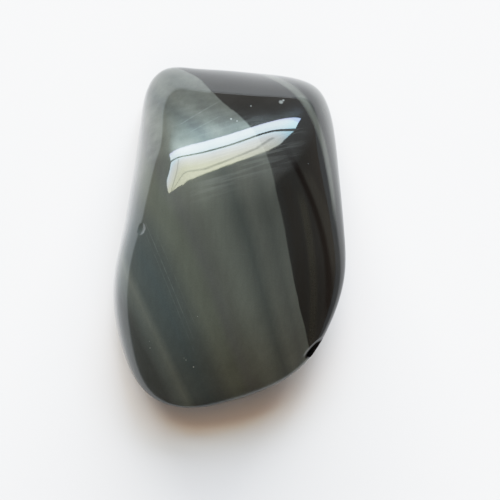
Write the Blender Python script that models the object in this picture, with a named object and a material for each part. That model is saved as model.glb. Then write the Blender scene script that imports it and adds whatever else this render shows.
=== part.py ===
"""A tumbled and polished pebble of banded obsidian with a fine cord hole drilled across its wide end.

The pebble lies flat. Its crown has a broad face that falls gently towards the wide end (-Y) and a
steeper face that falls to the narrow end (+Y), with a soft ridge between them. Lengths are in
millimetres until a mesh is written. Angles are in degrees, counted from +X about the middle.
"""

import bpy
import numpy as np
from mathutils import Vector

MM = 0.001

# Mesh of the pebble: meridians round it and rings from the resting spot to the crown
MERIDIANS = 88
RINGS = 44
RING_CROWDING = 1.4  # above 1, the rings crowd towards the widest line, where the form turns fastest

# Distance from the middle to the widest line, seen from above
OUTLINE = (
    (0, 13.5), (18, 13.9), (33, 15.4), (44, 17.5), (52, 19.5), (59, 20.9), (68, 21.0),
    (80, 20.5), (92, 20.7), (102, 21.5), (110, 22.3), (117, 21.2), (125, 18.3), (137, 15.1),
    (155, 13.0), (175, 12.5), (195, 13.8), (212, 15.8), (228, 18.2), (243, 20.5),
    (256, 20.5), (268, 19.4), (282, 18.4), (298, 17.5), (318, 15.7), (340, 14.3),
)

# Height of the widest line: low at the narrow end, near mid-thickness elsewhere
EDGE_HEIGHT = (
    (0, 5.3), (45, 3.4), (75, 1.8), (110, 1.5), (145, 1.5), (180, 3.3), (225, 4.0), (270, 3.9),
    (315, 5.0),
)

# How much further the outermost rim falls (or less, where negative), and how far in that reaches
RIM_DROP = (
    (0, -0.4), (30, -0.5), (60, -0.5), (90, -0.35), (115, 0.1), (135, 0.3), (150, 0.6), (165, 1.1),
    (180, 1.4), (210, 1.3), (228, 0.7), (250, 0.1), (275, -0.1), (300, -0.4), (330, -0.5),
)
RIM_REACH = 0.38

# Width over which the surface rolls over the edge, above and below the widest line
UPPER_ROLL = (
    (0, 13.1), (45, 11.2), (75, 10.1), (115, 11.4), (145, 7.6), (180, 6.7), (225, 8.9), (270, 11.7),
    (315, 13.7),
)
LOWER_ROLL = ((0, 8.0), (45, 5.0), (90, 3.2), (135, 4.5), (180, 7.0), (270, 6.0))

# The crown: its height, where it is level, and how round it is across and along
THICKNESS = 11.9
CROWN_X = 1.2
CROWN_Y = 1.6
CROWN_RADIUS_ACROSS = 51.0
CROWN_RADIUS_ALONG = 52.0
CROWN_SKEW = 0.02  # how much flatter the crown gets towards the narrow end, per millimetre

# The ridge between the two faces, from its left end to its right end
RIDGE_LEFT = (-6.0, 7.2)
RIDGE_RIGHT = (11.0, 15.0)
RIDGE_SLOPE = 0.28
RIDGE_SOFTNESS = 0.6
RIDGE_BOW = -0.017

# The underside: a flat spot in the middle share of the outline, then a slow rise to the edge
FLAT_SHARE = 0.42
UNDERSIDE_RISE = 0.5

# The drilled hole: the middles of its two mouths, and how far the cutter runs on past each
MOUTH_RIGHT = (9.9, -13.2, 5.5)
MOUTH_LEFT = (-6.2, -20.0, 2.8)
BORE_RADIUS = 0.72
BORE_OVERRUN = 4.0
BORE_SIDES = 24

# A small scooped chip on the left shoulder: the middle and the radius of the ball that it fits
CHIP_MIDDLE = (-11.27, 0.15, 11.44)
CHIP_RADIUS = 2.2
BALL_SIDES = 32
BALL_RINGS = 20

# Where the middle of the outline lies, so that the origin is under the middle of the whole pebble
MIDDLE = (-0.05, -0.57, 0.0)


def ring_curve(knots):
    """Give the smooth closed curve through the knots, as a function of the angle."""
    angles = np.array([angle for angle, value in knots], dtype=float)
    values = np.array([value for angle, value in knots], dtype=float)
    count = len(knots)
    steps = np.diff(np.append(angles, angles[0] + 360.0))
    rises = np.diff(np.append(values, values[0])) / steps
    system = np.zeros((count, count))
    for i in range(count):
        system[i, i - 1] += steps[i - 1]
        system[i, i] += 2.0 * (steps[i - 1] + steps[i])
        system[i, (i + 1) % count] += steps[i]
    bends = np.linalg.solve(system, 6.0 * (rises - np.roll(rises, 1)))

    def value_at(angle):
        turned = (angle - angles[0]) % 360.0 + angles[0]
        i = np.searchsorted(angles, turned, side="right") - 1
        j = (i + 1) % count
        left = (angles[i] + steps[i] - turned) / steps[i]
        right = 1.0 - left
        pull = (left ** 3 - left) * bends[i] + (right ** 3 - right) * bends[j]
        return left * values[i] + right * values[j] + pull * steps[i] ** 2 / 6.0

    return value_at


def crown_height(x, y):
    """Give the height of the two upper faces, before the edge rolls over."""
    left = np.array(RIDGE_LEFT)
    right = np.array(RIDGE_RIGHT)
    span = np.linalg.norm(right - left)
    run_x, run_y = (right - left) / span
    along = (x - left[0]) * run_x + (y - left[1]) * run_y - span / 2.0
    across = (y - left[1]) * run_x - (x - left[0]) * run_y
    beyond = (across + RIDGE_BOW * along ** 2) / RIDGE_SOFTNESS
    steep_fall = RIDGE_SLOPE * RIDGE_SOFTNESS * np.logaddexp(0.0, beyond)
    side_fall = (x - CROWN_X) ** 2 / (2.0 * CROWN_RADIUS_ACROSS)
    up = y - CROWN_Y
    long_fall = up ** 2 * (1.0 - CROWN_SKEW * up) / (2.0 * CROWN_RADIUS_ALONG)
    return THICKNESS - side_fall - long_fall - steep_fall


def edge_roll(inside, width):
    """Go from 0 at the widest line, with an upright tangent, to 1 where the roll ends."""
    return np.sqrt(1.0 - (1.0 - np.clip(inside / width, 0.0, 1.0)) ** 3)


def pebble_points(ball):
    """Carry the points of a unit ball to the surface of the pebble."""
    angle = np.degrees(np.arctan2(ball[:, 1], ball[:, 0])) % 360.0
    latitude = np.abs(np.arcsin(np.clip(ball[:, 2], -1.0, 1.0))) / (np.pi / 2.0)
    share = np.cos(latitude ** RING_CROWDING * np.pi / 2.0)
    reach = ring_curve(OUTLINE)(angle)
    x = share * reach * np.cos(np.radians(angle))
    y = share * reach * np.sin(np.radians(angle))
    inside = (1.0 - share) * reach
    edge = ring_curve(EDGE_HEIGHT)(angle)
    upper_roll = edge_roll(inside, ring_curve(UPPER_ROLL)(angle))
    drop = ring_curve(RIM_DROP)(angle)
    upper = edge + (crown_height(x, y) - edge) * upper_roll - drop * np.exp(-inside / RIM_REACH)
    risen = np.clip((share - FLAT_SHARE) / (1.0 - FLAT_SHARE), 0.0, 1.0)
    underside = UNDERSIDE_RISE * risen ** 2
    rim = edge - drop
    lower = rim - (rim - underside) * edge_roll(inside, ring_curve(LOWER_ROLL)(angle))
    return np.column_stack((x, y, np.where(ball[:, 2] > 0.0, upper, lower)))


def move_to_collection(thing, collection):
    for holder in list(thing.users_collection):
        holder.objects.unlink(thing)
    collection.objects.link(thing)


def make_obsidian():
    material = bpy.data.materials.new("obsidian")
    material.use_nodes = True
    shader = material.node_tree.nodes["Principled BSDF"]
    shader.inputs["Base Color"].default_value = (0.045, 0.05, 0.045, 1.0)
    shader.inputs["Metallic"].default_value = 0.0
    shader.inputs["Roughness"].default_value = 0.06
    shader.inputs["IOR"].default_value = 1.5
    return material


def make_pebble(collection):
    bpy.ops.mesh.primitive_uv_sphere_add(segments=MERIDIANS, ring_count=RINGS, radius=1.0)
    pebble = bpy.context.active_object
    pebble.name = "obsidian_pebble"
    mesh = pebble.data
    mesh.name = "obsidian_pebble"
    ball = np.empty(len(mesh.vertices) * 3)
    mesh.vertices.foreach_get("co", ball)
    points = pebble_points(ball.reshape(-1, 3))
    mesh.vertices.foreach_set("co", (points * MM).ravel())
    mesh.materials.append(make_obsidian())
    mesh.shade_smooth()
    mesh.update()
    move_to_collection(pebble, collection)
    return pebble


def cut(body, cutter, name, collection):
    """Take the cutter out of the body, and keep it as a hidden wire."""
    cutter.name = name
    cutter.hide_render = True
    cutter.display_type = "WIRE"
    move_to_collection(cutter, collection)
    boolean = body.modifiers.new(name, "BOOLEAN")
    boolean.operation = "DIFFERENCE"
    boolean.solver = "EXACT"
    boolean.object = cutter


def drill_hole(pebble, collection):
    """Cut the straight bore that joins the two mouths."""
    right = Vector(MOUTH_RIGHT) * MM
    left = Vector(MOUTH_LEFT) * MM
    run = right - left
    bpy.ops.mesh.primitive_cylinder_add(
        vertices=BORE_SIDES,
        radius=BORE_RADIUS * MM,
        depth=run.length + 2.0 * BORE_OVERRUN * MM,
        location=(left + right) / 2.0,
        rotation=run.to_track_quat("Z", "Y").to_euler(),
    )
    bore = bpy.context.active_object
    cut(pebble, bore, "bore_cutter", collection)
    return bore


def chip_edge(pebble, collection):
    bpy.ops.mesh.primitive_uv_sphere_add(
        segments=BALL_SIDES,
        ring_count=BALL_RINGS,
        radius=CHIP_RADIUS * MM,
        location=Vector(CHIP_MIDDLE) * MM,
    )
    ball = bpy.context.active_object
    cut(pebble, ball, "chip_cutter", collection)
    return ball


def main():
    for thing in list(bpy.data.objects):
        bpy.data.objects.remove(thing)
    parts = bpy.data.collections.new("obsidian_pebble")
    cutters = bpy.data.collections.new("cutters")
    bpy.context.scene.collection.children.link(parts)
    bpy.context.scene.collection.children.link(cutters)
    pebble = make_pebble(parts)
    bore = drill_hole(pebble, cutters)
    ball = chip_edge(pebble, cutters)

    middle = bpy.data.objects.new("outline_middle", None)
    middle.location = Vector(MIDDLE) * MM
    parts.objects.link(middle)
    for thing in (pebble, bore, ball):
        thing.parent = middle


main()
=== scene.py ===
import math

import bpy
import numpy as np
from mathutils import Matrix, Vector


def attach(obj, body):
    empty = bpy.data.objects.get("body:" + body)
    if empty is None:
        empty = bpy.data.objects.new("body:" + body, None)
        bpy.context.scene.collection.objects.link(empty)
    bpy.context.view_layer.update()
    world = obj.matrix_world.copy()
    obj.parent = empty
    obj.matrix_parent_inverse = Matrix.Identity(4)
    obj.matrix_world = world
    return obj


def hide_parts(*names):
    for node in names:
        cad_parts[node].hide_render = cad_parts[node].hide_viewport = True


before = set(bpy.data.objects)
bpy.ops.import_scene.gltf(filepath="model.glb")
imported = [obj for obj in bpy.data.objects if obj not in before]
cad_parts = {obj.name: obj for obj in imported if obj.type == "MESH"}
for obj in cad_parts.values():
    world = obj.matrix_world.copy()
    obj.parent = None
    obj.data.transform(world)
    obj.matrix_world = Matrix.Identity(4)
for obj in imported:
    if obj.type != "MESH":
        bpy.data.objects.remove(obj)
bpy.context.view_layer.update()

# The look of a tumbled and polished pebble of banded obsidian, with a fine cord hole.
# Lengths are in millimetres until a mesh or an object is placed. Angles are in degrees,
# counted from +X about the middle of the outline.

MM = 0.001

# Mesh of the pebble: meridians round it and rings from the resting spot to the crown
MERIDIANS = 360
RINGS = 180
RING_CROWDING = 1.4  # above 1, the rings crowd towards the widest line, where the form turns fastest

# Distance from the middle to the widest line, seen from above
OUTLINE = (
    (0, 13.5), (18, 13.9), (33, 15.4), (44, 17.5), (52, 19.5), (59, 20.9), (68, 21.0),
    (80, 20.5), (92, 20.7), (102, 21.5), (110, 22.3), (117, 21.2), (125, 18.3), (137, 15.1),
    (155, 13.0), (175, 12.5), (195, 13.8), (212, 15.8), (228, 18.2), (243, 20.5),
    (256, 20.5), (268, 19.4), (282, 18.4), (298, 17.5), (318, 15.7), (340, 14.3),
)

# Height of the widest line: low at the narrow end, near mid-thickness elsewhere
EDGE_HEIGHT = (
    (0, 5.3), (45, 3.4), (75, 1.8), (110, 1.5), (145, 1.5), (180, 3.3), (225, 4.0), (270, 3.9),
    (315, 5.0),
)

# How much further the outermost rim falls (or less, where negative), and how far in that reaches
RIM_DROP = (
    (0, -0.4), (30, -0.5), (60, -0.5), (90, -0.35), (115, 0.1), (135, 0.3), (150, 0.6), (165, 1.1),
    (180, 1.4), (210, 1.3), (228, 0.7), (250, 0.1), (275, -0.1), (300, -0.4), (330, -0.5),
)
RIM_REACH = 0.38

# Width over which the surface rolls over the edge, above and below the widest line
UPPER_ROLL = (
    (0, 13.1), (45, 11.2), (75, 10.1), (115, 11.4), (145, 7.6), (180, 6.7), (225, 8.9), (270, 11.7),
    (315, 13.7),
)
LOWER_ROLL = ((0, 8.0), (45, 5.0), (90, 3.2), (135, 4.5), (180, 7.0), (270, 6.0))

# The crown: its height, where it is level, and how round it is across and along
THICKNESS = 11.9
CROWN_X = 1.2
CROWN_Y = 1.6
CROWN_RADIUS_ACROSS = 51.0
CROWN_RADIUS_ALONG = 52.0
CROWN_SKEW = 0.02

# The ridge between the two faces, from its left end to its right end
RIDGE_LEFT = (-6.0, 7.2)
RIDGE_RIGHT = (11.0, 15.0)
RIDGE_SLOPE = 0.28
RIDGE_SOFTNESS = 0.6
RIDGE_BOW = -0.017

# The underside: a flat spot in the middle share of the outline, then a slow rise to the edge
FLAT_SHARE = 0.42
UNDERSIDE_RISE = 0.5

# The drilled hole
MOUTH_RIGHT = (9.9, -13.2, 5.5)
MOUTH_LEFT = (-6.2, -20.0, 2.8)
BORE_RADIUS = 0.72
BORE_OVERRUN = 4.0
BORE_SIDES = 64

# The chip on the left shoulder
CHIP_MIDDLE = (-11.27, 0.15, 11.44)
CHIP_RADIUS = 2.2
BALL_SIDES = 96
BALL_RINGS = 48

# Where the middle of the outline lies
MIDDLE = (-0.05, -0.57, 0.0)

CRISP_EDGE = 22.0  # edges sharper than this stay crisp

# Layers in the glass, as stops of a ramp over the layer coordinate, which is 0 near the middle
# of the grey part and grows to the right. Each stop is a distance and a colour.
DARK_START = 11.79
DARK_SOFTNESS = 0.05
LAYER_START = -18.0
LAYER_END = 20.0
LAYERS = (
    (LAYER_START, (0.035, 0.040, 0.040)),
    (-14.50, (0.037, 0.042, 0.042)),
    (-12.60, (0.061, 0.071, 0.069)),
    (-11.00, (0.080, 0.090, 0.083)),
    (-9.60, (0.049, 0.059, 0.059)),
    (-7.00, (0.042, 0.053, 0.055)),
    (-4.20, (0.049, 0.056, 0.053)),
    (-1.90, (0.070, 0.076, 0.063)),
    (-0.40, (0.067, 0.073, 0.060)),
    (1.10, (0.064, 0.067, 0.062)),
    (2.60, (0.069, 0.073, 0.064)),
    (4.30, (0.083, 0.089, 0.077)),
    (5.60, (0.077, 0.083, 0.073)),
    (7.40, (0.051, 0.057, 0.053)),
    (8.90, (0.076, 0.080, 0.071)),
    (10.40, (0.061, 0.065, 0.059)),
    (11.20, (0.070, 0.074, 0.066)),
    (DARK_START - DARK_SOFTNESS, (0.070, 0.074, 0.066)),
    (DARK_START + DARK_SOFTNESS, (0.0115, 0.0115, 0.011)),
    (14.50, (0.010, 0.010, 0.0095)),
    (LAYER_END, (0.010, 0.010, 0.010)),
)

# How the layers lie: the layer coordinate grows along x by 1, along z by the lean and along y by
# the turn. All three change slowly along y, and the turn also bends.
LAYER_SPREAD_CHANGE = -0.0296
LAYER_LEAN = 0.4645
LAYER_LEAN_CHANGE = -0.0057
LAYER_TURN = 0.4161
LAYER_TURN_CHANGE = 0.0077
LAYER_TURN_BEND = 0.000127

# How far the layers stray from their even run, for places along y
STRAY_SPAN = 24.0
STRAY_LIMIT = 1.0
LAYER_STRAY = (
    (-STRAY_SPAN, -0.1), (-12.0, -0.1), (-4.0, 0.15), (2.0, 0.2), (7.0, -0.2), (10.4, -0.35),
    (13.5, 0.05), (16.0, 0.33), (19.5, -0.05), (STRAY_SPAN, -0.1),
)

# Faint bent layers inside the dark part. Each lies where x + slope * y + bend * y * y is near its
# middle. The other numbers are half its width, its soft edge, where along y it starts and ends,
# and its colour.
DARK_LAYERS = (
    (0.27, 0.02, 10.6, 0.15, 0.5, (-8.0, 7.0), (0.0025, 0.002, 0.002)),
    (0.27, 0.02, 11.5, 0.25, 0.6, (-3.0, 5.0), (0.0155, 0.0148, 0.0130)),
    (0.17, 0.0107, 8.98, 0.15, 0.55, (-12.0, 2.0), (0.0165, 0.0158, 0.0128)),
    (0.17, 0.0107, 7.6, 0.2, 0.9, (-8.0, 4.0), (0.0105, 0.0098, 0.0088)),
)
DARK_LAYER_FADE = 3.0

# The pale streak that folds round along the right edge. It has a layer coordinate of its own, a
# bright core, a fainter outer part, and a soft start along y.
STREAK_SPREAD_CHANGE = -0.0378
STREAK_LEAN = 0.0216
STREAK_SLOPE = 0.5231
STREAK_BEND = 0.0027
STREAK_CORE = (12.45, 12.6)
STREAK_SOFTNESS = 0.26
STREAK_OUTER = (12.95, 13.4)
STREAK_OUTER_STRENGTH = 0.35
STREAK_START = (0.0, 5.0)
STREAK_COLOUR = (0.066, 0.069, 0.06, 1.0)

# Painted shade on the grey glass, and the share of its colour left there: near the middle of the
# crown, and beyond two lines across the pebble, one near each end. A line lies where y + slope * x
# has a given value, and is soft between two.
PAINTED_SHADE_X = 3.5
PAINTED_SHADE_Y = 2.0
PAINTED_SHADE_SQUASH = 0.8
PAINTED_SHADE_REACH = 15.0
PAINTED_SHADE_DEPTH = 0.55
PAINTED_SHADE_TOP_SLOPE = 0.4
PAINTED_SHADE_TOP = (6.0, 14.0)
PAINTED_SHADE_TOP_DEPTH = 0.95
PAINTED_SHADE_LOW_SLOPE = -0.3
PAINTED_SHADE_LOW = (-20.5, -16.8)
PAINTED_SHADE_LOW_DEPTH = 0.6

# Noises: blobs per millimetre, detail, the lowest and the highest value, and the squeeze along each
# axis, where it isn't 1
GRAIN_SPAN = (0.3, 0.7)  # the raw noise seldom leaves this
LAYER_GRAIN = (0.35, 3.0, -0.08, 0.08, (1.0, 0.25, 1.0))
COARSE_GRAIN = (0.5, 2.0, 0.96, 1.04, (1.0, 0.4, 1.0))
FINE_GRAIN = (6.0, 2.0, 0.96, 1.04)
STREAKY_GRAIN = (2.2, 2.0, 0.97, 1.03, (1.0, 0.08, 1.0))
POLISH_WAVES = (0.55, 2.0, 0.0, 1.0)

# Patches on the steep face, which starts where y + slope * x has a given value. They fade out at
# the rim, between two heights.
FACET_PATCHES = (0.5, 3.0, -0.14, 0.16, (0.7, 1.0, 1.0))
FACET_SLOPE = -0.3
FACET_START = (9.0, 12.0)
FACET_HEIGHTS = (2.5, 6.0)

# Fine scratches, each by the direction across it, its place that way, half its width, where it
# starts and ends along itself, and its strength
SCRATCHES = (
    (0.923, 0.385, -8.95, 0.02, (-10.5, 2.0), 0.04),
    (0.923, 0.385, -8.5, 0.03, (-9.0, 3.5), 0.045),
    (0.92, 0.392, -7.8, 0.02, (-8.0, 1.5), 0.03),
    (-0.55, 0.835, 13.3, 0.05, (-6.5, -3.0), 0.07),
    (-0.50, 0.866, 11.9, 0.04, (-5.0, -2.5), 0.05),
    (0.1, 0.995, -3.1, 0.02, (-2.0, 3.0), 0.02),
)
SCRATCH_FADE = 1.5
SCRATCH_BREAKS = (1.3, 2.0, 0.2, 1.0)

# Smudges and grains of dust: x, y, radius and strength
SMUDGES = (
    (6.07, 14.95, 0.32, 0.30), (6.35, 15.2, 0.16, 0.34), (2.6, 14.44, 0.12, 0.3),
    (0.3, 12.75, 0.14, 0.35), (0.98, 12.45, 0.10, 0.35), (-4.83, -14.81, 0.07, 0.4),
    (-3.98, -15.56, 0.10, 0.5), (-5.06, -14.59, 0.05, 0.35), (-8.94, -13.4, 0.08, 0.3),
)
SMUDGE_CORE = 0.4  # the share of the radius that is full

# Scattered dust: cells per millimetre, radius of a speck, and the share of the cells that hold one.
# The coarse dust lies on top, and starts between two heights. The fine dust lies in the upper band.
DUST = (0.55, 0.05, 0.16)
DUST_STRENGTH = 0.35
DUST_HEIGHTS = (6.0, 8.0)
FINE_DUST = (1.6, 0.035, 0.5)
FINE_DUST_STRENGTH = 0.3
SPECK_CORE = 0.5  # the share of the radius that is full

# Rubbed bands on both sides of the ridge, which also carry a painted glow of the window's
# reflection. Each lies where y + slope * x is between two values, with soft edges: slope, start,
# end and softness. The upper one weakens between two places along x, and the lower one has a
# start, an end and a softness along x.
RUBBED_AND_GLOW_ABOVE = (0.25, 10.5, 13.0, 2.0)
RUBBED_AND_GLOW_ABOVE_WEAKENS = (2.0, 9.0, 0.3, 0.08)
RUBBED_AND_GLOW_BELOW = (-0.45, 6.0, 7.6, 3.2)
RUBBED_AND_GLOW_BELOW_SPAN = (-1.5, 8.5, 4.0)

# The fine lines in both bands: a noise drawn out along a slope, with a haze as its least value, that
# fades out between two places along x. The haze is a painted glow of the window's reflection.
RUBBED_AND_GLOW_LINES = (0.9, 5.0, -0.5, 1.0, (0.22, 3.0, 0.5))
RUBBED_AND_GLOW_LINES_SLOPE = -0.28
RUBBED_AND_GLOW_HAZE = 0.12
RUBBED_AND_GLOW_END = (6.5, 10.0)
RUBBED_AND_GLOW_STRENGTH = 0.055

# The pale colour of the wear, which also paints the glow beside the ridge, and the most that both
# hide of the glass
WEAR_AND_GLOW_COLOUR = (0.45, 0.47, 0.46, 1.0)
WEAR_AND_GLOW_LIMIT = 0.5  # the most that wear hides of the glass

# The bore's wall is left dull by the drill, and its mouths are a little worn. Its dark colour is
# painted shade inside the hole.
BORE_SHADE_COLOUR = (0.006, 0.006, 0.006, 1.0)
BORE_ROUGHNESS = 0.6
DRILLED_WITHIN = 0.04
DRILLED_BEYOND = 0.12
LIP_HEIGHT = 0.05
LIP_WIDTH = 0.26

# A silver sheen from flat bubbles that lie a little askew of the surface, under a clear polish with
# long faint waves
SHEEN = 0.36
SHEEN_ROUGHNESS = 0.29
SHEEN_ASKEW = (0.0, -0.1, 0.0)
GLASS_IOR = 1.5
POLISH_ROUGHNESS = 0.03
WAVE_HEIGHT = 0.0006

# The light that the polish mirrors: a wide window beyond the narrow end, with dim walls round it.
# It is drawn on an upright sheet at distance 1, across and up from the pebble. A slanted line has
# its height in the middle and its rise across. The left jamb lies where across + lean * up has one
# value. The sill and the bar bow down to both sides, and fall to the right.
LEAST_REACH = 0.001  # keeps directions that miss the sheet from dividing by nothing
WINDOW_EDGE = 0.02
WINDOW_LEFT = -1.45
WINDOW_RIGHT = 1.04
WINDOW_SILL = 0.845
SILL_BOW = 0.12
SILL_FALL = 0.06
WINDOW_HEAD = 2.33
HEAD_SLANT = -0.67
LEFT_HEAD = 3.55
LEFT_SLANT = 0.75
RIGHT_HEAD = 2.52
RIGHT_SLANT = -1.2
JAMB = -0.9
JAMB_LEAN = 0.35

# The bar across the window, and thin lines between two places each
TRANSOM = 1.5
TRANSOM_HALF = 0.055
TRANSOM_BOW = 0.17
TRANSOM_FALL = 0.08
THIN_LINES = (
    ((-0.90, 1.58), (-1.32, 2.55)),
    ((-1.25, 2.55), (-0.42, 2.47)),
    ((-0.42, 2.47), (0.19, 2.03)),
    ((0.19, 2.03), (0.34, 1.78)),
)
THIN_LINE_CORE = 0.018
THIN_LINE_HALF = 0.04
THIN_LINE_SHADE = 0.5

# The daylight in the window, from the sill to the head. It dims towards the upper right and towards
# the left, and is bluer at the right: each is a start and an end, with the light at both where the
# two more numbers are.
DAYLIGHT = (
    (WINDOW_SILL, (15.0, 16.0, 24.0)),
    (0.92, (20.0, 25.0, 29.0)),
    (1.1, (20.5, 26.0, 28.5)),
    (TRANSOM, (15.5, 21.5, 25.5)),
    (1.75, (17.0, 18.5, 19.0)),
    (2.05, (16.5, 17.0, 14.5)),
    (WINDOW_HEAD, (15.5, 16.0, 11.0)),
)
DUSK_ACROSS = (-0.2, 0.8)
DUSK_UP = (1.5, 2.3)
DUSK_SHADE = 0.5
LEFT_DIM = (-1.2, -0.3, 0.75, 1.0)
BLUE_ACROSS = (0.2, 0.9)
BLUE_TINT = (0.80, 1.02, 1.08, 1.0)
WHITE = (1.0, 1.0, 1.0, 1.0)

# The dim light elsewhere, from level to straight above, and how it weakens towards the near side:
# two places, and the light at both
WALLS = (
    (0.0, (0.34, 0.27, 0.21)),
    (0.5, (0.20, 0.16, 0.13)),
    (0.85, (0.12, 0.10, 0.085)),
    (1.0, (0.09, 0.075, 0.065)),
)
NEAR_DIM = (-0.7, 0.1, 0.45, 1.0)

# A pale slatted blind above the window, and a lit wall beside it: start, end and softness. The slats
# are a noise, by its blobs per unit of height, its detail, and how it turns into light.
BLIND_UP = (2.5, 2.9, 1.8)
BLIND_ACROSS = (-1.6, 1.4, 0.8)
BLIND_COLOUR = (0.75, 0.75, 0.66, 1.0)
SLATS = 7.0
SLAT_DETAIL = 2.0
SLAT_LIGHT = (0.35, 0.65, 0.05, 1.0)
BESIDE_ACROSS = (1.05, 1.5, 1.6)
BESIDE_UP = (0.4, 2.4, 1.0)
BESIDE_COLOUR = (0.55, 0.55, 0.55, 1.0)

# The plain table, paler round the pebble. It darkens between two places to the right, towards the
# camera's side and far off, where the polish would mirror too much of it. The dark parts are painted
# shade.
TABLE_SIZE = 6000.0
TABLE_COLOUR = (0.19, 0.19, 0.19, 1.0)
TABLE_PAINTED_SHADE = (0.05, 0.05, 0.05, 1.0)
TABLE_RIGHT = (34.0, 58.0)
TABLE_NEAR = (-33.0, -62.0)
TABLE_FAR = (150.0, 400.0)
TABLE_ROUGHNESS = 0.8
TABLE_GLOSS = 0.2

# Soft lamps that the polish doesn't mirror, in metres and watts: name, width, height, power, colour,
# place, and whether the lamp lights the table alone
LAMPS = (
    ("low", 1.7, 0.36, 570.0, (1.0, 0.985, 0.94), (0.05, 1.47, 0.255), True),
    ("sky", 0.8, 0.42, 138.0, (0.74, 0.83, 0.97), (0.2, 1.27, 0.774), True),
    ("warm", 0.4, 0.4, 3.0, (1.0, 0.5, 0.2), (-0.05, 0.15, 0.62), True),
    ("near", 0.6, 0.4, 5.5, (1.0, 0.86, 0.76), (0.1, -0.5, 0.42), True),
    ("overhead", 0.4, 0.4, 3.7, (1.0, 0.72, 0.42), (-0.05, 0.15, 0.62), False),
)

# The camera: its angle above the table, its distance, where it aims, half the width that it sees
# there, how the frame is shifted, and the nearest that it sees
CAMERA_ELEVATION = 80.0
CAMERA_DISTANCE = 220.0
CAMERA_AIM = (0.0, 0.0, 4.0)
CAMERA_HALF_WIDTH = 29.25
CAMERA_SHIFT_X = 0.043
CAMERA_SHIFT_Y = -0.025
CAMERA_CLIP = 10.0

# The tones: the light that counts as white, and a curve that holds back the brightest
WHITE_LEVEL = 2.0
TONES = ((0.1, 0.2), (0.25, 0.47), (0.5, 0.75), (0.8, 0.9))
BRIGHTEST_TONE = 0.96


def ring_curve(knots):
    """Give the smooth closed curve through the knots, as a function of the angle."""
    angles = np.array([angle for angle, value in knots], dtype=float)
    values = np.array([value for angle, value in knots], dtype=float)
    count = len(knots)
    steps = np.diff(np.append(angles, angles[0] + 360.0))
    rises = np.diff(np.append(values, values[0])) / steps
    system = np.zeros((count, count))
    for i in range(count):
        system[i, i - 1] += steps[i - 1]
        system[i, i] += 2.0 * (steps[i - 1] + steps[i])
        system[i, (i + 1) % count] += steps[i]
    bends = np.linalg.solve(system, 6.0 * (rises - np.roll(rises, 1)))

    def value_at(angle):
        turned = (angle - angles[0]) % 360.0 + angles[0]
        i = np.searchsorted(angles, turned, side="right") - 1
        j = (i + 1) % count
        left = (angles[i] + steps[i] - turned) / steps[i]
        right = 1.0 - left
        pull = (left ** 3 - left) * bends[i] + (right ** 3 - right) * bends[j]
        return left * values[i] + right * values[j] + pull * steps[i] ** 2 / 6.0

    return value_at


def crown_height(x, y):
    """Give the height of the two upper faces, before the edge rolls over."""
    left = np.array(RIDGE_LEFT)
    right = np.array(RIDGE_RIGHT)
    span = np.linalg.norm(right - left)
    run_x, run_y = (right - left) / span
    along = (x - left[0]) * run_x + (y - left[1]) * run_y - span / 2.0
    across = (y - left[1]) * run_x - (x - left[0]) * run_y
    beyond = (across + RIDGE_BOW * along ** 2) / RIDGE_SOFTNESS
    steep_fall = RIDGE_SLOPE * RIDGE_SOFTNESS * np.logaddexp(0.0, beyond)
    side_fall = (x - CROWN_X) ** 2 / (2.0 * CROWN_RADIUS_ACROSS)
    up = y - CROWN_Y
    long_fall = up ** 2 * (1.0 - CROWN_SKEW * up) / (2.0 * CROWN_RADIUS_ALONG)
    return THICKNESS - side_fall - long_fall - steep_fall


def edge_roll(inside, width):
    """Go from 0 at the widest line, with an upright tangent, to 1 where the roll ends."""
    return np.sqrt(1.0 - (1.0 - np.clip(inside / width, 0.0, 1.0)) ** 3)


def pebble_points(ball):
    """Carry the points of a unit ball to the surface of the pebble."""
    angle = np.degrees(np.arctan2(ball[:, 1], ball[:, 0])) % 360.0
    latitude = np.abs(np.arcsin(np.clip(ball[:, 2], -1.0, 1.0))) / (np.pi / 2.0)
    share = np.cos(latitude ** RING_CROWDING * np.pi / 2.0)
    reach = ring_curve(OUTLINE)(angle)
    x = share * reach * np.cos(np.radians(angle))
    y = share * reach * np.sin(np.radians(angle))
    inside = (1.0 - share) * reach
    edge = ring_curve(EDGE_HEIGHT)(angle)
    upper_roll = edge_roll(inside, ring_curve(UPPER_ROLL)(angle))
    drop = ring_curve(RIM_DROP)(angle)
    upper = edge + (crown_height(x, y) - edge) * upper_roll - drop * np.exp(-inside / RIM_REACH)
    risen = np.clip((share - FLAT_SHARE) / (1.0 - FLAT_SHARE), 0.0, 1.0)
    underside = UNDERSIDE_RISE * risen ** 2
    rim = edge - drop
    lower = rim - (rim - underside) * edge_roll(inside, ring_curve(LOWER_ROLL)(angle))
    return np.column_stack((x, y, np.where(ball[:, 2] > 0.0, upper, lower)))


def placed(point):
    """Carry a point of the outline's own space, in millimetres, to the frame."""
    return (Vector(point) + Vector(MIDDLE)) * MM


def cut(body, cutter):
    """Take the cutter out of the body for good, and remove the cutter."""
    boolean = body.modifiers.new("cut", "BOOLEAN")
    boolean.operation = "DIFFERENCE"
    boolean.solver = "EXACT"
    boolean.object = cutter
    bpy.context.view_layer.objects.active = body
    bpy.ops.object.modifier_apply(modifier=boolean.name)
    mesh = cutter.data
    bpy.data.objects.remove(cutter)
    bpy.data.meshes.remove(mesh)


def drill_hole(pebble):
    right = placed(MOUTH_RIGHT)
    left = placed(MOUTH_LEFT)
    run = right - left
    bpy.ops.mesh.primitive_cylinder_add(
        vertices=BORE_SIDES,
        radius=BORE_RADIUS * MM,
        depth=run.length + 2.0 * BORE_OVERRUN * MM,
        location=(left + right) / 2.0,
        rotation=run.to_track_quat("Z", "Y").to_euler(),
    )
    cut(pebble, bpy.context.active_object)


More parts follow.
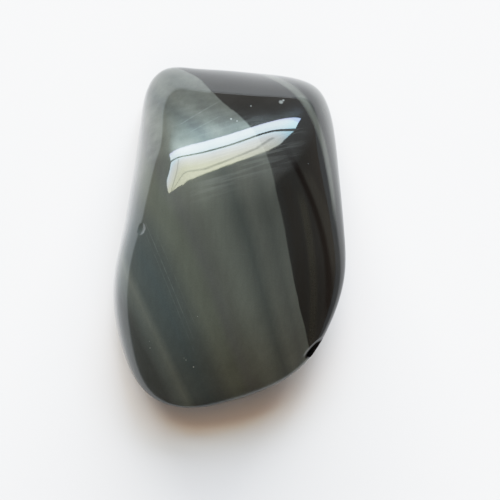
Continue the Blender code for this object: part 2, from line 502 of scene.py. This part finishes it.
def chip_edge(pebble):
    bpy.ops.mesh.primitive_uv_sphere_add(
        segments=BALL_SIDES,
        ring_count=BALL_RINGS,
        radius=CHIP_RADIUS * MM,
        location=placed(CHIP_MIDDLE),
    )
    cut(pebble, bpy.context.active_object)


def make_pebble():
    bpy.ops.mesh.primitive_uv_sphere_add(segments=MERIDIANS, ring_count=RINGS, radius=1.0)
    pebble = bpy.context.active_object
    pebble.name = "polished_pebble"
    mesh = pebble.data
    mesh.name = "polished_pebble"
    ball = np.empty(len(mesh.vertices) * 3)
    mesh.vertices.foreach_get("co", ball)
    points = pebble_points(ball.reshape(-1, 3)) + np.array(MIDDLE)
    mesh.vertices.foreach_set("co", (points * MM).ravel())
    mesh.update()
    drill_hole(pebble)
    chip_edge(pebble)
    pebble.data.shade_smooth()
    pebble.data.set_sharp_from_angle(angle=math.radians(CRISP_EDGE))
    return pebble


# Short ways to write node trees


def add_node(tree, kind, **settings):
    node = tree.nodes.new(kind)
    for name, value in settings.items():
        setattr(node, name, value)
    return node


def feed(tree, socket, value):
    """Join a socket to another one, or set its own value."""
    if isinstance(value, bpy.types.NodeSocket):
        tree.links.new(value, socket)
    else:
        socket.default_value = value


def calc(tree, operation, *values):
    node = add_node(tree, "ShaderNodeMath", operation=operation)
    for socket, value in zip(node.inputs, values):
        feed(tree, socket, value)
    return node.outputs[0]


def fade(tree, value, start, end, low=0.0, high=1.0):
    """Go smoothly from low to high while the value goes from start to end."""
    node = add_node(tree, "ShaderNodeMapRange", interpolation_type="SMOOTHSTEP")
    for name, given in (
        ("Value", value), ("From Min", start), ("From Max", end), ("To Min", low), ("To Max", high),
    ):
        feed(tree, node.inputs[name], given)
    return node.outputs["Result"]


def product(tree, first, *others):
    for other in others:
        first = calc(tree, "MULTIPLY", first, other)
    return first


def mix_colour(tree, factor, first, second, blend="MIX"):
    node = add_node(tree, "ShaderNodeMix", data_type="RGBA", blend_type=blend)
    feed(tree, node.inputs["Factor"], factor)
    feed(tree, node.inputs["A"], first)
    feed(tree, node.inputs["B"], second)
    return [socket for socket in node.outputs if socket.type == "RGBA"][0]


def scale_colour(tree, colour, factor):
    node = add_node(tree, "ShaderNodeVectorMath", operation="SCALE")
    feed(tree, node.inputs[0], colour)
    feed(tree, node.inputs["Scale"], factor)
    return node.outputs[0]


def ramp(tree, value, start, end, stops):
    """Give a colour for a value, through stops at their own distances between start and end."""
    share = calc(tree, "DIVIDE", calc(tree, "SUBTRACT", value, start), end - start)
    node = add_node(tree, "ShaderNodeValToRGB")
    elements = node.color_ramp.elements
    while len(elements) < len(stops):
        elements.new(0.5)
    for element, (place, colour) in zip(elements, stops):
        element.position = (place - start) / (end - start)
        element.color = (*colour, 1.0)
    feed(tree, node.inputs["Fac"], share)
    return node.outputs["Color"]


def smooth_curve(tree, value, start, end, low, high, knots):
    """Carry a value through a smooth curve of knots, each a value and a result."""
    share = calc(tree, "DIVIDE", calc(tree, "SUBTRACT", value, start), end - start)
    node = add_node(tree, "ShaderNodeFloatCurve")
    curve = node.mapping.curves[0]
    places = [((at - start) / (end - start), (result - low) / (high - low)) for at, result in knots]
    curve.points[0].location = places[0]
    curve.points[-1].location = places[-1]
    for place in places[1:-1]:
        curve.points.new(*place)
    node.mapping.update()
    feed(tree, node.inputs["Value"], share)
    return calc(tree, "MULTIPLY_ADD", node.outputs["Value"], high - low, low)


def window_of(tree, value, start, end, soft):
    """Give 1 between start and end and 0 beyond them, with soft edges outside."""
    opened = fade(tree, value, start - soft, start)
    return calc(tree, "MULTIPLY", opened, fade(tree, value, end, end + soft, 1.0, 0.0))


def distance(tree, x, y, middle_x, middle_y, squash=1.0):
    """Give the distance from a place, with lengths along y squashed."""
    over = calc(tree, "SUBTRACT", x, middle_x)
    along = calc(tree, "MULTIPLY", calc(tree, "SUBTRACT", y, middle_y), squash)
    square = calc(tree, "MULTIPLY", over, over)
    return calc(tree, "SQRT", calc(tree, "MULTIPLY_ADD", along, along, square))


def grain(tree, point, scale, detail, low, high, squeeze=(1.0, 1.0, 1.0)):
    """Give a noise between low and high. The scale counts blobs per millimetre."""
    mapping = add_node(tree, "ShaderNodeMapping", vector_type="POINT")
    feed(tree, mapping.inputs["Vector"], point)
    mapping.inputs["Scale"].default_value = squeeze
    noise = add_node(tree, "ShaderNodeTexNoise")
    feed(tree, noise.inputs["Vector"], mapping.outputs["Vector"])
    noise.inputs["Scale"].default_value = scale
    noise.inputs["Detail"].default_value = detail
    return fade(tree, noise.outputs["Fac"], *GRAIN_SPAN, low, high)


def specks(tree, point, scale, size, share):
    """Give round specks: 1 inside each, 0 outside. Only a share of the cells holds one."""
    cells = add_node(tree, "ShaderNodeTexVoronoi")
    feed(tree, cells.inputs["Vector"], point)
    cells.inputs["Scale"].default_value = scale
    edge = size * scale
    near = fade(tree, cells.outputs["Distance"], edge * SPECK_CORE, edge, 1.0, 0.0)
    dice = add_node(tree, "ShaderNodeSeparateXYZ")
    feed(tree, dice.inputs[0], cells.outputs["Color"])
    chosen = calc(tree, "LESS_THAN", dice.outputs["X"], share)
    return calc(tree, "MULTIPLY", near, chosen)


# The glass


def layer_coordinate(tree, x, y, z):
    """Count across the layers of the glass: nearly upright sheets that fan out and bend a little."""
    stray = smooth_curve(tree, y, -STRAY_SPAN, STRAY_SPAN, -STRAY_LIMIT, STRAY_LIMIT, LAYER_STRAY)
    spread = calc(tree, "MULTIPLY_ADD", y, LAYER_SPREAD_CHANGE, 1.0)
    lean = calc(tree, "MULTIPLY_ADD", y, LAYER_LEAN_CHANGE, LAYER_LEAN)
    turn = calc(tree, "MULTIPLY_ADD", y, LAYER_TURN_BEND, LAYER_TURN_CHANGE)
    turn = calc(tree, "MULTIPLY_ADD", y, turn, LAYER_TURN)
    total = calc(tree, "MULTIPLY", x, spread)
    total = calc(tree, "MULTIPLY_ADD", z, lean, total)
    total = calc(tree, "MULTIPLY_ADD", y, turn, total)
    return calc(tree, "ADD", total, stray)


def bent_sum(tree, x, y, slope, bend):
    """Give x + slope * y + bend * y * y."""
    turn = calc(tree, "MULTIPLY_ADD", y, bend, slope)
    return calc(tree, "MULTIPLY_ADD", y, turn, x)


def folded_streak(tree, x, y, z):
    """Mark the pale streak that folds round along the right edge."""
    spread = calc(tree, "MULTIPLY_ADD", y, STREAK_SPREAD_CHANGE, 1.0)
    total = calc(tree, "MULTIPLY", x, spread)
    total = calc(tree, "MULTIPLY_ADD", z, STREAK_LEAN, total)
    total = bent_sum(tree, total, y, STREAK_SLOPE, STREAK_BEND)
    core = window_of(tree, total, *STREAK_CORE, STREAK_SOFTNESS)
    outer = fade(tree, total, *STREAK_OUTER, 0.0, STREAK_OUTER_STRENGTH)
    both = calc(tree, "ADD", core, outer)
    return calc(tree, "MULTIPLY", both, fade(tree, y, *STREAK_START))


def dark_layers(tree, colour, x, y, inside):
    """Lay the faint bent layers over the colour, where inside is 1."""
    for slope, bend, middle, half, soft, (start, end), tint in DARK_LAYERS:
        place = bent_sum(tree, x, y, slope, bend)
        across = window_of(tree, place, middle - half, middle + half, soft)
        along = window_of(tree, y, start, end, DARK_LAYER_FADE)
        colour = mix_colour(tree, product(tree, across, along, inside), colour, (*tint, 1.0))
    return colour


def painted_shade_share(tree, x, y):
    """Give painted shade on the grey glass, near the middle of the crown and towards both ends."""
    away = distance(tree, x, y, PAINTED_SHADE_X, PAINTED_SHADE_Y, PAINTED_SHADE_SQUASH)
    middle = fade(tree, away, 0.0, PAINTED_SHADE_REACH, PAINTED_SHADE_DEPTH, 1.0)
    place = calc(tree, "MULTIPLY_ADD", x, PAINTED_SHADE_TOP_SLOPE, y)
    top = fade(tree, place, *PAINTED_SHADE_TOP, 1.0, PAINTED_SHADE_TOP_DEPTH)
    place = calc(tree, "MULTIPLY_ADD", x, PAINTED_SHADE_LOW_SLOPE, y)
    low = fade(tree, place, *PAINTED_SHADE_LOW, PAINTED_SHADE_LOW_DEPTH, 1.0)
    return product(tree, middle, low, top)


def mottling(tree, point, x, y, z):
    """Give the mottling: three sizes, two of them drawn out along the layers, and the patches."""
    coarse = grain(tree, point, *COARSE_GRAIN)
    fine = grain(tree, point, *FINE_GRAIN)
    streaky = grain(tree, point, *STREAKY_GRAIN)
    place = calc(tree, "MULTIPLY_ADD", x, FACET_SLOPE, y)
    facet = calc(tree, "MULTIPLY", fade(tree, place, *FACET_START), fade(tree, z, *FACET_HEIGHTS))
    patches = calc(tree, "MULTIPLY_ADD", facet, grain(tree, point, *FACET_PATCHES), 1.0)
    return product(tree, coarse, fine, streaky, patches)


def glass_colour(tree, point, x, y, z):
    layer = layer_coordinate(tree, x, y, z)
    layer = calc(tree, "ADD", layer, grain(tree, point, *LAYER_GRAIN))
    colour = ramp(tree, layer, LAYER_START, LAYER_END, LAYERS)
    dark = fade(tree, layer, DARK_START - DARK_SOFTNESS, DARK_START + DARK_SOFTNESS)
    colour = dark_layers(tree, colour, x, y, dark)
    colour = mix_colour(tree, folded_streak(tree, x, y, z), colour, STREAK_COLOUR)
    # Painted shade darkens the grey glass, but not the dark part
    painted_shade = calc(tree, "MAXIMUM", painted_shade_share(tree, x, y), dark)
    return scale_colour(tree, colour, product(tree, mottling(tree, point, x, y, z), painted_shade))


# The wear, and a painted glow beside the ridge


def scratches(tree, point, x, y):
    """Give the strength of the fine scratches, broken up along their length."""
    total = 0.0
    for across_x, across_y, middle, half, (start, end), strength in SCRATCHES:
        across = calc(tree, "MULTIPLY", x, across_x)
        across = calc(tree, "MULTIPLY_ADD", y, across_y, across)
        across = window_of(tree, across, middle - half, middle + half, half)
        along = calc(tree, "MULTIPLY", x, -across_y)
        along = calc(tree, "MULTIPLY_ADD", y, across_x, along)
        along = window_of(tree, along, start, end, SCRATCH_FADE)
        part = calc(tree, "MULTIPLY", across, along)
        total = calc(tree, "MULTIPLY_ADD", part, strength, total)
    return calc(tree, "MULTIPLY", total, grain(tree, point, *SCRATCH_BREAKS))


def smudges(tree, x, y):
    total = 0.0
    for mark_x, mark_y, radius, strength in SMUDGES:
        away = distance(tree, x, y, mark_x, mark_y)
        part = fade(tree, away, radius * SMUDGE_CORE, radius, strength, 0.0)
        total = calc(tree, "ADD", part, total)
    return total


def rubbed_and_glow_band(tree, x, y, slope, start, end, soft):
    """Give 1 where y + slope * x is between start and end, with soft edges outside."""
    return window_of(tree, calc(tree, "MULTIPLY_ADD", x, slope, y), start, end, soft)


def rubbed_and_glow_lines(tree, x, y, z):
    """Give the fine lines that run along the ridge, as a noise drawn out that way, over a haze of
    painted glow.
    """
    slid = add_node(tree, "ShaderNodeCombineXYZ")
    feed(tree, slid.inputs["X"], x)
    feed(tree, slid.inputs["Y"], calc(tree, "MULTIPLY_ADD", x, RUBBED_AND_GLOW_LINES_SLOPE, y))
    feed(tree, slid.inputs["Z"], z)
    return calc(tree, "MAXIMUM", grain(tree, slid.outputs[0], *RUBBED_AND_GLOW_LINES), RUBBED_AND_GLOW_HAZE)


def wear_and_glow_marks(tree, point, x, y, z):
    """Give the strength of the pale wear: scratches, smudges, rubbed bands and specks of dust. The
    rubbed bands also carry a painted glow.
    """
    total = calc(tree, "ADD", scratches(tree, point, x, y), smudges(tree, x, y))
    dust = calc(tree, "MULTIPLY", specks(tree, point, *DUST), DUST_STRENGTH)
    total = calc(tree, "MULTIPLY_ADD", dust, fade(tree, z, *DUST_HEIGHTS), total)
    above = rubbed_and_glow_band(tree, x, y, *RUBBED_AND_GLOW_ABOVE)
    above = calc(tree, "MULTIPLY", above, fade(tree, x, *RUBBED_AND_GLOW_ABOVE_WEAKENS))
    below = rubbed_and_glow_band(tree, x, y, *RUBBED_AND_GLOW_BELOW)
    below = calc(tree, "MULTIPLY", below, window_of(tree, x, *RUBBED_AND_GLOW_BELOW_SPAN))
    rubbed_and_glow = calc(tree, "MAXIMUM", above, below)
    rubbed_and_glow = calc(tree, "MULTIPLY", rubbed_and_glow, fade(tree, x, *RUBBED_AND_GLOW_END, 1.0, 0.0))
    lines = calc(tree, "MULTIPLY", rubbed_and_glow_lines(tree, x, y, z), rubbed_and_glow)
    total = calc(tree, "MULTIPLY_ADD", lines, RUBBED_AND_GLOW_STRENGTH, total)
    fine = calc(tree, "MULTIPLY", specks(tree, point, *FINE_DUST), above)
    return calc(tree, "MULTIPLY_ADD", fine, FINE_DUST_STRENGTH, total)


def bore_distance(tree, point):
    """Give the distance from the axis of the drilled hole."""
    left = Vector(MOUTH_LEFT)
    run = (Vector(MOUTH_RIGHT) - left).normalized()
    reach = add_node(tree, "ShaderNodeVectorMath", operation="SUBTRACT")
    feed(tree, reach.inputs[0], point)
    reach.inputs[1].default_value = left
    turn = add_node(tree, "ShaderNodeVectorMath", operation="CROSS_PRODUCT")
    feed(tree, turn.inputs[0], reach.outputs[0])
    turn.inputs[1].default_value = run
    length = add_node(tree, "ShaderNodeVectorMath", operation="LENGTH")
    feed(tree, length.inputs[0], turn.outputs[0])
    return length.outputs["Value"]


def polish_normal(tree, point, away):
    """Give the slope of the polish: long faint waves, and a worn lip round the bore."""
    waves = calc(tree, "MULTIPLY", grain(tree, point, *POLISH_WAVES), WAVE_HEIGHT)
    lip = fade(tree, away, BORE_RADIUS, BORE_RADIUS + LIP_WIDTH)
    bump = add_node(tree, "ShaderNodeBump")
    bump.inputs["Distance"].default_value = MM
    feed(tree, bump.inputs["Height"], calc(tree, "MULTIPLY_ADD", lip, LIP_HEIGHT, waves))
    return bump.outputs["Normal"]


def sheen_normal(tree):
    """Give the slope of the flat bubbles, a little askew of the surface."""
    askew = add_node(tree, "ShaderNodeVectorMath", operation="ADD")
    feed(tree, askew.inputs[0], add_node(tree, "ShaderNodeNewGeometry").outputs["Normal"])
    askew.inputs[1].default_value = SHEEN_ASKEW
    even = add_node(tree, "ShaderNodeVectorMath", operation="NORMALIZE")
    feed(tree, even.inputs[0], askew.outputs[0])
    return even.outputs[0]


def outline_point(tree):
    """Give the place on the pebble in the outline's own space, in millimetres."""
    move = add_node(tree, "ShaderNodeMapping", vector_type="POINT")
    feed(tree, move.inputs["Vector"], add_node(tree, "ShaderNodeTexCoord").outputs["Object"])
    move.inputs["Scale"].default_value = (1.0 / MM, 1.0 / MM, 1.0 / MM)
    move.inputs["Location"].default_value = [-value for value in MIDDLE]
    return move.outputs["Vector"]


def make_obsidian():
    material = bpy.data.materials.new("banded_obsidian")
    material.use_nodes = True
    tree = material.node_tree
    shader = tree.nodes["Principled BSDF"]

    point = outline_point(tree)
    split = add_node(tree, "ShaderNodeSeparateXYZ")
    feed(tree, split.inputs[0], point)
    x, y, z = split.outputs
    away = bore_distance(tree, point)
    within = BORE_RADIUS + DRILLED_WITHIN
    beyond = BORE_RADIUS + DRILLED_BEYOND
    drilled_and_shaded = fade(tree, away, within, beyond, 1.0, 0.0)

    # The pale wear, with a painted glow of the window's reflection beside the ridge
    wear_and_glow = calc(tree, "MINIMUM", wear_and_glow_marks(tree, point, x, y, z), WEAR_AND_GLOW_LIMIT)
    colour = mix_colour(tree, wear_and_glow, glass_colour(tree, point, x, y, z), WEAR_AND_GLOW_COLOUR)
    # Painted shade inside the hole and on its mouth
    colour = mix_colour(tree, drilled_and_shaded, colour, BORE_SHADE_COLOUR)
    feed(tree, shader.inputs["Base Color"], colour)
    rough = fade(tree, drilled_and_shaded, 0.0, 1.0, SHEEN_ROUGHNESS, BORE_ROUGHNESS)
    feed(tree, shader.inputs["Roughness"], rough)
    feed(tree, shader.inputs["Normal"], sheen_normal(tree))
    feed(tree, shader.inputs["Coat Normal"], polish_normal(tree, point, away))

    shader.inputs["Metallic"].default_value = SHEEN
    shader.inputs["Specular IOR Level"].default_value = 0.0
    shader.inputs["IOR"].default_value = GLASS_IOR
    shader.inputs["Coat Weight"].default_value = 1.0
    shader.inputs["Coat Roughness"].default_value = POLISH_ROUGHNESS
    shader.inputs["Coat IOR"].default_value = GLASS_IOR
    return material


# The light and the table


def past(tree, value, line):
    """Give 1 past the line and 0 before it, with the window's soft edge between."""
    return fade(tree, value, line - WINDOW_EDGE, line + WINDOW_EDGE)


def short_of(tree, value, line):
    """Give 1 before the line and 0 past it, with the window's soft edge between."""
    return fade(tree, value, line - WINDOW_EDGE, line + WINDOW_EDGE, 1.0, 0.0)


def unslanted(tree, across, up, slant):
    """Give up, less the rise of a slanted line across the window."""
    return calc(tree, "MULTIPLY_ADD", across, -slant, up)


def bowed(tree, across, up, bow, fall):
    """Give up, raised by the bow times the square of across and by the fall times across."""
    raised = calc(tree, "MULTIPLY_ADD", calc(tree, "MULTIPLY", across, across), bow, up)
    return calc(tree, "MULTIPLY_ADD", across, fall, raised)


def thin_line(tree, across, up, first, second):
    """Give 1 off the thin line between two places on the window, and less on it."""
    run = Vector(second) - Vector(first)
    side = Vector((-run.y, run.x)).normalized()
    away = calc(tree, "MULTIPLY", across, side.x)
    away = calc(tree, "MULTIPLY_ADD", up, side.y, away)
    away = calc(tree, "ABSOLUTE", calc(tree, "SUBTRACT", away, side.dot(Vector(first))))
    line = fade(tree, away, THIN_LINE_CORE, THIN_LINE_HALF, 1.0, 0.0)
    along = calc(tree, "MULTIPLY", across, run.x / run.length_squared)
    along = calc(tree, "MULTIPLY_ADD", up, run.y / run.length_squared, along)
    start = run.dot(Vector(first)) / run.length_squared
    line = calc(tree, "MULTIPLY", line, window_of(tree, along, start, start + 1.0, WINDOW_EDGE))
    return calc(tree, "MULTIPLY_ADD", line, -THIN_LINE_SHADE, 1.0)


def window_shape(tree, across, up):
    """Give 1 where the window is open, and less beyond it and on its bar and lines."""
    bar = bowed(tree, across, up, TRANSOM_BOW, TRANSOM_FALL)
    bar = calc(tree, "ABSOLUTE", calc(tree, "SUBTRACT", bar, TRANSOM))
    limits = [
        past(tree, across, WINDOW_LEFT),
        short_of(tree, across, WINDOW_RIGHT),
        past(tree, calc(tree, "MULTIPLY_ADD", up, JAMB_LEAN, across), JAMB),
        past(tree, bowed(tree, across, up, SILL_BOW, SILL_FALL), WINDOW_SILL),
        short_of(tree, unslanted(tree, across, up, HEAD_SLANT), WINDOW_HEAD),
        short_of(tree, unslanted(tree, across, up, LEFT_SLANT), LEFT_HEAD),
        short_of(tree, unslanted(tree, across, up, RIGHT_SLANT), RIGHT_HEAD),
        fade(tree, bar, TRANSOM_HALF, TRANSOM_HALF + WINDOW_EDGE),
    ]
    lines = [thin_line(tree, across, up, first, second) for first, second in THIN_LINES]
    return product(tree, *limits, *lines)


def window_dimming(tree, across, level):
    """Give how bright the window is: less at its upper right corner and at its left."""
    dusk = calc(tree, "MULTIPLY", fade(tree, across, *DUSK_ACROSS), fade(tree, level, *DUSK_UP))
    dusk = calc(tree, "MULTIPLY_ADD", dusk, -DUSK_SHADE, 1.0)
    return calc(tree, "MULTIPLY", dusk, fade(tree, across, *LEFT_DIM))


def daylight_colour(tree, across, up):
    colour = ramp(tree, up, WINDOW_SILL, WINDOW_HEAD, DAYLIGHT)
    tint = mix_colour(tree, fade(tree, across, *BLUE_ACROSS), WHITE, BLUE_TINT)
    return mix_colour(tree, 1.0, colour, tint, "MULTIPLY")


def dim_colour(tree, y, z, across, up, level, ahead):
    """Give the light outside the window: walls, a blind above it and the lit wall beside it."""
    colour = scale_colour(tree, ramp(tree, z, 0.0, 1.0, WALLS), fade(tree, y, *NEAR_DIM))
    slat = add_node(tree, "ShaderNodeTexNoise", noise_dimensions="1D")
    feed(tree, slat.inputs["W"], calc(tree, "MULTIPLY", level, SLATS))
    slat.inputs["Detail"].default_value = SLAT_DETAIL
    slat = fade(tree, slat.outputs["Fac"], *SLAT_LIGHT)
    blind_up = window_of(tree, level, *BLIND_UP)
    blind_across = window_of(tree, across, *BLIND_ACROSS)
    blind = product(tree, blind_up, blind_across, slat, ahead)
    colour = mix_colour(tree, blind, colour, BLIND_COLOUR)
    beside_across = window_of(tree, across, *BESIDE_ACROSS)
    beside_up = window_of(tree, up, *BESIDE_UP)
    return mix_colour(tree, product(tree, beside_across, beside_up, ahead), colour, BESIDE_COLOUR)


def make_room():
    world = bpy.data.worlds.new("room")
    bpy.context.scene.world = world
    world.use_nodes = True
    tree = world.node_tree

    split = add_node(tree, "ShaderNodeSeparateXYZ")
    feed(tree, split.inputs[0], add_node(tree, "ShaderNodeTexCoord").outputs["Generated"])
    x, y, z = split.outputs
    ahead = calc(tree, "GREATER_THAN", y, 0.0)
    reach = calc(tree, "MAXIMUM", y, LEAST_REACH)
    across = calc(tree, "DIVIDE", x, reach)
    up = calc(tree, "DIVIDE", z, reach)
    level = unslanted(tree, across, up, HEAD_SLANT)

    shape = window_shape(tree, across, up)
    opened = product(tree, shape, window_dimming(tree, across, level), ahead)
    dim = dim_colour(tree, y, z, across, up, level, ahead)
    light = mix_colour(tree, opened, dim, daylight_colour(tree, across, up))
    feed(tree, tree.nodes["Background"].inputs["Color"], light)


def make_floor():
    bpy.ops.mesh.primitive_plane_add(size=TABLE_SIZE * MM)
    floor = bpy.context.active_object
    floor.name = "table"
    material = bpy.data.materials.new("white_table")
    material.use_nodes = True
    tree = material.node_tree
    shader = tree.nodes["Principled BSDF"]
    split = add_node(tree, "ShaderNodeSeparateXYZ")
    feed(tree, split.inputs[0], add_node(tree, "ShaderNodeTexCoord").outputs["Object"])
    right = fade(tree, split.outputs["X"], *(place * MM for place in TABLE_RIGHT))
    near = fade(tree, split.outputs["Y"], *(place * MM for place in TABLE_NEAR))
    far = fade(tree, split.outputs["Y"], *(place * MM for place in TABLE_FAR))
    # Painted shade on the table to the right, on the near side and far off
    shade = calc(tree, "MAXIMUM", calc(tree, "MAXIMUM", right, near), far)
    feed(tree, shader.inputs["Base Color"], mix_colour(tree, shade, TABLE_COLOUR, TABLE_PAINTED_SHADE))
    shader.inputs["Roughness"].default_value = TABLE_ROUGHNESS
    shader.inputs["Specular IOR Level"].default_value = TABLE_GLOSS
    floor.data.materials.append(material)
    return floor


def make_lamps(floor):
    """Set up the soft lamps, each facing the pebble."""
    table_only = bpy.data.collections.new("table_only")
    table_only.objects.link(floor)
    for name, width, height, power, colour, place, on_table in LAMPS:
        data = bpy.data.lights.new(name, "AREA")
        data.shape = "RECTANGLE"
        data.size = width
        data.size_y = height
        data.energy = power
        data.color = colour
        lamp = bpy.data.objects.new(name, data)
        bpy.context.scene.collection.objects.link(lamp)
        lamp.location = place
        lamp.rotation_euler = lamp.location.to_track_quat("Z", "Y").to_euler()
        lamp.visible_glossy = False
        if on_table:
            lamp.light_linking.receiver_collection = table_only


def make_camera():
    data = bpy.data.cameras.new("camera")
    camera = bpy.data.objects.new("camera", data)
    bpy.context.scene.collection.objects.link(camera)
    bpy.context.scene.camera = camera
    elevation = math.radians(CAMERA_ELEVATION)
    back = Vector((0.0, -math.cos(elevation), math.sin(elevation)))
    camera.location = placed(CAMERA_AIM) + back * CAMERA_DISTANCE * MM
    camera.rotation_euler = back.to_track_quat("Z", "Y").to_euler()
    data.angle = 2.0 * math.atan(CAMERA_HALF_WIDTH / CAMERA_DISTANCE)
    data.shift_x = CAMERA_SHIFT_X
    data.shift_y = CAMERA_SHIFT_Y
    data.clip_start = CAMERA_CLIP * MM


def set_tones():
    """Hold back the brightest tones, as the camera of the photograph does."""
    view = bpy.context.scene.view_settings
    view.view_transform = "Standard"
    view.look = "None"
    view.use_curve_mapping = True
    mapping = view.curve_mapping
    mapping.white_level = (WHITE_LEVEL, WHITE_LEVEL, WHITE_LEVEL)
    all_channels = mapping.curves[3]
    for place, tone in TONES:
        all_channels.points.new(place, tone)
    all_channels.points[-1].location = (1.0, BRIGHTEST_TONE)
    mapping.update()


pebble = make_pebble()
pebble.data.materials.clear()
pebble.data.materials.append(make_obsidian())
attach(pebble, "root")
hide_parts("obsidian_pebble")
make_room()
floor = make_floor()
make_lamps(floor)
make_camera()
set_tones()
